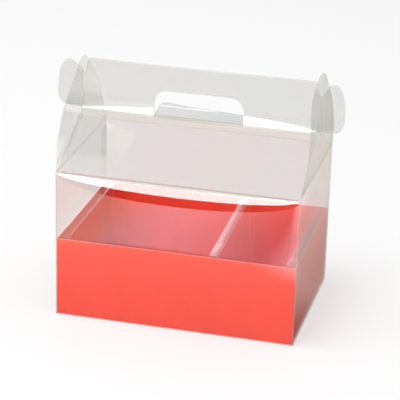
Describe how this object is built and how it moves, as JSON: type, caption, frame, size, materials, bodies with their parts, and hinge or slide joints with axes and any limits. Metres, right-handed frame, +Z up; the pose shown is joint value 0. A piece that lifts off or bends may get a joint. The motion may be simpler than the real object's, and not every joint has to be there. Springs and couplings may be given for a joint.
{
  "type": "clear gable carrier box",
  "caption": "Clear creased carrier box with a gable top, slotted fins, hand hole and finger flap, around a coloured card tray and a folded clear insert.",
  "frame": {"origin": "middle of the base, on the surface that the box stands on", "axes": "+Z up; X along the handle; -Y towards the front, where the finger flap is cut"},
  "size_m": [0.264, 0.157, 0.228],
  "materials": {
    "clear_sheet": "gloss",
    "coral_card": "satin",
    "insert_sheet": "gloss"
  },
  "bodies": {
    "sleeve": {"front_wall": "clear_sheet", "back_wall": "clear_sheet", "left_wall": "clear_sheet", "right_wall": "clear_sheet", "glue_flap": "clear_sheet", "bottom_back_flap": "clear_sheet", "bottom_left_flap": "clear_sheet", "bottom_right_flap": "clear_sheet", "bottom_front_flap": "clear_sheet"},
    "left_fin": {"left_fin": "clear_sheet"},
    "right_fin": {"right_fin": "clear_sheet"},
    "front_top": {"front_roof": "clear_sheet"},
    "back_top": {"back_roof": "clear_sheet"},
    "front_handle": {"front_handle": "clear_sheet", "front_left_ear": "clear_sheet", "front_right_ear": "clear_sheet"},
    "back_handle": {"back_handle": "clear_sheet", "back_left_ear": "clear_sheet", "back_right_ear": "clear_sheet"},
    "hand_flap": {"hand_flap": "clear_sheet"},
    "tray": {"tray_floor": "coral_card", "tray_front_wall": "coral_card", "tray_back_wall": "coral_card", "tray_left_wall": "coral_card", "tray_right_wall": "coral_card", "tray_front_left_tab": "coral_card", "tray_front_right_tab": "coral_card", "tray_back_left_tab": "coral_card", "tray_back_right_tab": "coral_card"},
    "insert": {"insert_left_ridge": "insert_sheet", "insert_left_floor": "insert_sheet", "insert_divider": "insert_sheet", "insert_right_floor": "insert_sheet", "insert_right_ridge": "insert_sheet"}
  },
  "joints": [
    {"name": "left_fin_fold", "type": "hinge", "parent": "sleeve", "child": "left_fin", "pos_m": [-0.11, 0, 0.138], "axis": [0, -1, 0], "range_deg": [0, 100], "deforming": ["front_left_ear", "back_left_ear"]},
    {"name": "right_fin_fold", "type": "hinge", "parent": "sleeve", "child": "right_fin", "pos_m": [0.11, 0, 0.138], "axis": [0, 1, 0], "range_deg": [0, 100], "deforming": ["front_right_ear", "back_right_ear"]},
    {"name": "front_top_open", "type": "hinge", "parent": "sleeve", "child": "front_top", "pos_m": [0, -0.075, 0.138], "axis": [1, 0, 0], "range_deg": [0, 110], "deforming": ["front_left_ear", "front_right_ear"]},
    {"name": "back_top_open", "type": "hinge", "parent": "sleeve", "child": "back_top", "pos_m": [0, 0.075, 0.138], "axis": [-1, 0, 0], "range_deg": [0, 110], "deforming": ["back_left_ear", "back_right_ear"]},
    {"name": "front_handle_fold", "type": "hinge", "parent": "front_top", "child": "front_handle", "pos_m": [0, -0.00175, 0.174], "axis": [1, 0, 0], "range_deg": [0, 100], "deforming": ["front_left_ear", "front_right_ear"]},
    {"name": "back_handle_fold", "type": "hinge", "parent": "back_top", "child": "back_handle", "pos_m": [0, 0.00175, 0.174], "axis": [-1, 0, 0], "range_deg": [0, 100], "deforming": ["back_left_ear", "back_right_ear"]},
    {"name": "hand_flap_turn", "type": "hinge", "parent": "front_top", "child": "hand_flap", "pos_m": [0, -0.00175, 0.174], "axis": [1, 0, 0], "range_deg": [0, 81]},
    {"name": "tray_lift", "type": "slide", "parent": "sleeve", "child": "tray", "axis": [0, 0, 1], "range_m": [0, 0.06]},
    {"name": "insert_lift", "type": "slide", "parent": "tray", "child": "insert", "axis": [0, 0, 1], "range_m": [0, 0.06]}
  ],
  "couplings": [
    {"joint": "back_top_open", "follows": "front_top_open", "ratio": 1}
  ]
}
